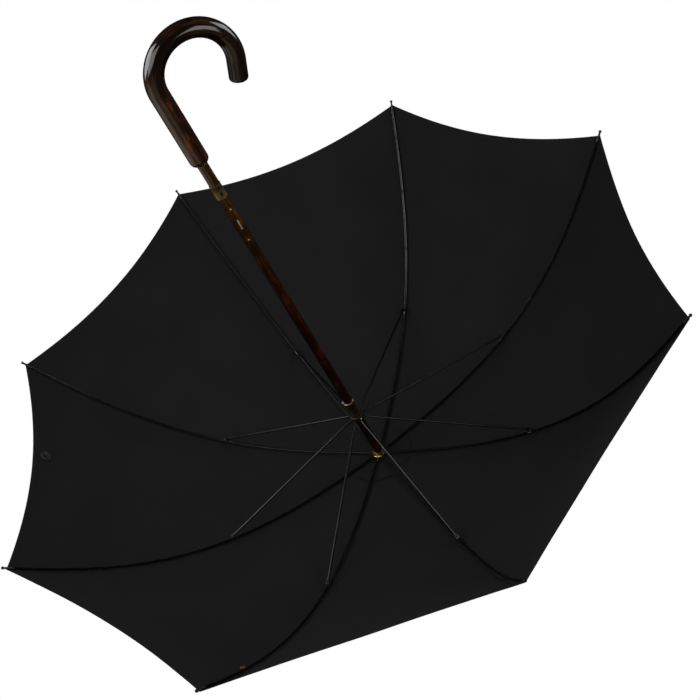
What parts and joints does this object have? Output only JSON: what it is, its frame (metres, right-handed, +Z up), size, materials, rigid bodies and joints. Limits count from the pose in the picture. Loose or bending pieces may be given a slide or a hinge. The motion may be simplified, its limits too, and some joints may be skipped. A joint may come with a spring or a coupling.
{
  "type": "stick umbrella",
  "caption": "Open full-length umbrella with a bent wooden crook handle, wooden shaft, brass runner and a black cloth canopy on hinged metal ribs.",
  "frame": {"origin": "on the shaft's axis, in the middle of the straight hand grip", "axes": "+Z up the shaft to the ferrule's tip, +X the way the crook bends; rib 1 lies over +X and the ribs count counter-clockwise seen from above"},
  "size_m": [1.089, 1.089, 0.8894],
  "materials": {
    "stained_wood": "dark stained and varnished, glossy",
    "lacquered_wood": "reddish dark brown, lacquered",
    "brass": "polished",
    "black_steel": "black plated, satin",
    "black_metal": "black enamel, satin",
    "black_cloth": "plain weave, matt"
  },
  "bodies": {
    "shaft_assembly": {"shaft": "lacquered_wood", "handle": "stained_wood", "handle_collar": "brass", "brass_band": "brass", "crown": "brass", "ferrule": "black_metal", "rosette": "black_cloth"},
    "top_spring": {"top_spring": "brass"},
    "bottom_spring": {"bottom_spring": "brass"},
    "rib_1": {"rib_inner_1": "black_steel", "canopy_inner_1": "black_cloth"},
    "rib_end_1": {"rib_outer_1": "black_steel", "rib_tip_1": "black_metal", "canopy_outer_1": "black_cloth"},
    "stretcher_1": {"stretcher_1": "black_steel"},
    "rib_2": {"rib_inner_2": "black_steel", "canopy_inner_2": "black_cloth"},
    "rib_end_2": {"rib_outer_2": "black_steel", "rib_tip_2": "black_metal", "canopy_outer_2": "black_cloth"},
    "stretcher_2": {"stretcher_2": "black_steel"},
    "rib_3": {"rib_inner_3": "black_steel", "canopy_inner_3": "black_cloth"},
    "rib_end_3": {"rib_outer_3": "black_steel", "rib_tip_3": "black_metal", "canopy_outer_3": "black_cloth"},
    "stretcher_3": {"stretcher_3": "black_steel"},
    "rib_4": {"rib_inner_4": "black_steel", "canopy_inner_4": "black_cloth"},
    "rib_end_4": {"rib_outer_4": "black_steel", "rib_tip_4": "black_metal", "canopy_outer_4": "black_cloth"},
    "stretcher_4": {"stretcher_4": "black_steel"},
    "rib_5": {"rib_inner_5": "black_steel", "canopy_inner_5": "black_cloth"},
    "rib_end_5": {"rib_outer_5": "black_steel", "rib_tip_5": "black_metal", "canopy_outer_5": "black_cloth"},
    "stretcher_5": {"stretcher_5": "black_steel"},
    "rib_6": {"rib_inner_6": "black_steel", "canopy_inner_6": "black_cloth"},
    "rib_end_6": {"rib_outer_6": "black_steel", "rib_tip_6": "black_metal", "canopy_outer_6": "black_cloth"},
    "stretcher_6": {"stretcher_6": "black_steel"},
    "rib_7": {"rib_inner_7": "black_steel", "canopy_inner_7": "black_cloth"},
    "rib_end_7": {"rib_outer_7": "black_steel", "rib_tip_7": "black_metal", "canopy_outer_7": "black_cloth"},
    "stretcher_7": {"stretcher_7": "black_steel"},
    "rib_8": {"rib_inner_8": "black_steel", "canopy_inner_8": "black_cloth"},
    "rib_end_8": {"rib_outer_8": "black_steel", "rib_tip_8": "black_metal", "canopy_outer_8": "black_cloth"},
    "stretcher_8": {"stretcher_8": "black_steel"},
    "runner": {"runner_sleeve": "brass", "runner_notch": "black_metal"},
    "tie_strap": {"tie_strap": "black_cloth"}
  },
  "joints": [
    {"name": "rib_1_fold", "type": "hinge", "parent": "shaft_assembly", "child": "rib_1", "pos_m": [0.0095, 0, 0.68], "axis": [0, 1, 0], "range_deg": [0, 76.98], "deforming": ["canopy_inner_1", "rosette"]},
    {"name": "rib_1_flex", "type": "hinge", "parent": "rib_1", "child": "rib_end_1", "pos_m": [0.2813, 0, 0.63041], "axis": [0, 1, 0], "range_deg": [-28.1, 0], "deforming": ["canopy_outer_1"]},
    {"name": "stretcher_1_pivot", "type": "hinge", "parent": "rib_1", "child": "stretcher_1", "pos_m": [0.26707, 0, 0.62986], "axis": [0, 1, 0], "range_deg": [-154.46, 0]},
    {"name": "rib_2_fold", "type": "hinge", "parent": "shaft_assembly", "child": "rib_2", "pos_m": [0.00672, 0.00672, 0.68], "axis": [-0.7071, 0.7071, 0], "range_deg": [0, 76.98], "deforming": ["canopy_inner_2"]},
    {"name": "rib_2_flex", "type": "hinge", "parent": "rib_2", "child": "rib_end_2", "pos_m": [0.19891, 0.19891, 0.63041], "axis": [-0.7071, 0.7071, 0], "range_deg": [-28.1, 0], "deforming": ["canopy_outer_2"]},
    {"name": "stretcher_2_pivot", "type": "hinge", "parent": "rib_2", "child": "stretcher_2", "pos_m": [0.18885, 0.18885, 0.62986], "axis": [-0.7071, 0.7071, 0], "range_deg": [-154.46, 0]},
    {"name": "rib_3_fold", "type": "hinge", "parent": "shaft_assembly", "child": "rib_3", "pos_m": [0, 0.0095, 0.68], "axis": [-1, 0, 0], "range_deg": [0, 76.98], "deforming": ["canopy_inner_3"]},
    {"name": "rib_3_flex", "type": "hinge", "parent": "rib_3", "child": "rib_end_3", "pos_m": [0, 0.2813, 0.63041], "axis": [-1, 0, 0], "range_deg": [-28.1, 0], "deforming": ["canopy_outer_3"]},
    {"name": "stretcher_3_pivot", "type": "hinge", "parent": "rib_3", "child": "stretcher_3", "pos_m": [0, 0.26707, 0.62986], "axis": [-1, 0, 0], "range_deg": [-154.46, 0]},
    {"name": "rib_4_fold", "type": "hinge", "parent": "shaft_assembly", "child": "rib_4", "pos_m": [-0.00672, 0.00672, 0.68], "axis": [-0.7071, -0.7071, 0], "range_deg": [0, 76.98], "deforming": ["canopy_inner_4"]},
    {"name": "rib_4_flex", "type": "hinge", "parent": "rib_4", "child": "rib_end_4", "pos_m": [-0.19891, 0.19891, 0.63041], "axis": [-0.7071, -0.7071, 0], "range_deg": [-28.1, 0], "deforming": ["canopy_outer_4"]},
    {"name": "stretcher_4_pivot", "type": "hinge", "parent": "rib_4", "child": "stretcher_4", "pos_m": [-0.18885, 0.18885, 0.62986], "axis": [-0.7071, -0.7071, 0], "range_deg": [-154.46, 0]},
    {"name": "rib_5_fold", "type": "hinge", "parent": "shaft_assembly", "child": "rib_5", "pos_m": [-0.0095, 0, 0.68], "axis": [0, -1, 0], "range_deg": [0, 76.98], "deforming": ["canopy_inner_5"]},
    {"name": "rib_5_flex", "type": "hinge", "parent": "rib_5", "child": "rib_end_5", "pos_m": [-0.2813, 0, 0.63041], "axis": [0, -1, 0], "range_deg": [-28.1, 0], "deforming": ["canopy_outer_5"]},
    {"name": "stretcher_5_pivot", "type": "hinge", "parent": "rib_5", "child": "stretcher_5", "pos_m": [-0.26707, 0, 0.62986], "axis": [0, -1, 0], "range_deg": [-154.46, 0]},
    {"name": "rib_6_fold", "type": "hinge", "parent": "shaft_assembly", "child": "rib_6", "pos_m": [-0.00672, -0.00672, 0.68], "axis": [0.7071, -0.7071, 0], "range_deg": [0, 76.98], "deforming": ["canopy_inner_6"]},
    {"name": "rib_6_flex", "type": "hinge", "parent": "rib_6", "child": "rib_end_6", "pos_m": [-0.19891, -0.19891, 0.63041], "axis": [0.7071, -0.7071, 0], "range_deg": [-28.1, 0], "deforming": ["canopy_outer_6"]},
    {"name": "stretcher_6_pivot", "type": "hinge", "parent": "rib_6", "child": "stretcher_6", "pos_m": [-0.18885, -0.18885, 0.62986], "axis": [0.7071, -0.7071, 0], "range_deg": [-154.46, 0]},
    {"name": "rib_7_fold", "type": "hinge", "parent": "shaft_assembly", "child": "rib_7", "pos_m": [0, -0.0095, 0.68], "axis": [1, 0, 0], "range_deg": [0, 76.98], "deforming": ["canopy_inner_7"]},
    {"name": "rib_7_flex", "type": "hinge", "parent": "rib_7", "child": "rib_end_7", "pos_m": [0, -0.2813, 0.63041], "axis": [1, 0, 0], "range_deg": [-28.1, 0], "deforming": ["canopy_outer_7"]},
    {"name": "stretcher_7_pivot", "type": "hinge", "parent": "rib_7", "child": "stretcher_7", "pos_m": [0, -0.26707, 0.62986], "axis": [1, 0, 0], "range_deg": [-154.46, 0]},
    {"name": "rib_8_fold", "type": "hinge", "parent": "shaft_assembly", "child": "rib_8", "pos_m": [0.00672, -0.00672, 0.68], "axis": [0.7071, 0.7071, 0], "range_deg": [0, 76.98], "deforming": ["canopy_inner_8"]},
    {"name": "rib_8_flex", "type": "hinge", "parent": "rib_8", "child": "rib_end_8", "pos_m": [0.19891, -0.19891, 0.63041], "axis": [0.7071, 0.7071, 0], "range_deg": [-28.1, 0], "deforming": ["canopy_outer_8"]},
    {"name": "stretcher_8_pivot", "type": "hinge", "parent": "rib_8", "child": "stretcher_8", "pos_m": [0.18885, -0.18885, 0.62986], "axis": [0.7071, 0.7071, 0], "range_deg": [-154.46, 0]},
    {"name": "runner_pivot", "type": "hinge", "parent": "stretcher_1", "child": "runner", "pos_m": [0.0095, 0, 0.57972], "axis": [0, 1, 0], "range_deg": [0, 77.48]},
    {"name": "top_spring_press", "type": "hinge", "parent": "shaft_assembly", "child": "top_spring", "pos_m": [-0.005, 0, 0.50012], "axis": [0, 1, 0], "range_deg": [0, 4.2], "stiffness_Nm_per_rad": 1, "deforming": ["top_spring"]},
    {"name": "bottom_spring_press", "type": "hinge", "parent": "shaft_assembly", "child": "bottom_spring", "pos_m": [0, 0.005, 0.1597], "axis": [-1, 0, 0], "range_deg": [0, 4.2], "stiffness_Nm_per_rad": 1, "deforming": ["bottom_spring"]},
    {"name": "tie_strap_flap", "type": "hinge", "parent": "rib_end_4", "child": "tie_strap", "pos_m": [-0.36967, 0.36967, 0.41956], "axis": [0.7071, 0.7071, 0], "range_deg": [0, 90], "deforming": ["tie_strap"]}
  ],
  "couplings": [
    {"joint": "rib_1_flex", "follows": "rib_1_fold", "ratio": -0.3585},
    {"joint": "stretcher_1_pivot", "follows": "rib_1_fold", "ratio": -2},
    {"joint": "rib_2_fold", "follows": "rib_1_fold", "ratio": 1},
    {"joint": "rib_2_flex", "follows": "rib_1_fold", "ratio": -0.3585},
    {"joint": "stretcher_2_pivot", "follows": "rib_1_fold", "ratio": -2},
    {"joint": "rib_3_fold", "follows": "rib_1_fold", "ratio": 1},
    {"joint": "rib_3_flex", "follows": "rib_1_fold", "ratio": -0.3585},
    {"joint": "stretcher_3_pivot", "follows": "rib_1_fold", "ratio": -2},
    {"joint": "rib_4_fold", "follows": "rib_1_fold", "ratio": 1},
    {"joint": "rib_4_flex", "follows": "rib_1_fold", "ratio": -0.3585},
    {"joint": "stretcher_4_pivot", "follows": "rib_1_fold", "ratio": -2},
    {"joint": "rib_5_fold", "follows": "rib_1_fold", "ratio": 1},
    {"joint": "rib_5_flex", "follows": "rib_1_fold", "ratio": -0.3585},
    {"joint": "stretcher_5_pivot", "follows": "rib_1_fold", "ratio": -2},
    {"joint": "rib_6_fold", "follows": "rib_1_fold", "ratio": 1},
    {"joint": "rib_6_flex", "follows": "rib_1_fold", "ratio": -0.3585},
    {"joint": "stretcher_6_pivot", "follows": "rib_1_fold", "ratio": -2},
    {"joint": "rib_7_fold", "follows": "rib_1_fold", "ratio": 1},
    {"joint": "rib_7_flex", "follows": "rib_1_fold", "ratio": -0.3585},
    {"joint": "stretcher_7_pivot", "follows": "rib_1_fold", "ratio": -2},
    {"joint": "rib_8_fold", "follows": "rib_1_fold", "ratio": 1},
    {"joint": "rib_8_flex", "follows": "rib_1_fold", "ratio": -0.3585},
    {"joint": "stretcher_8_pivot", "follows": "rib_1_fold", "ratio": -2},
    {"joint": "runner_pivot", "follows": "rib_1_fold", "ratio": 1}
  ]
}
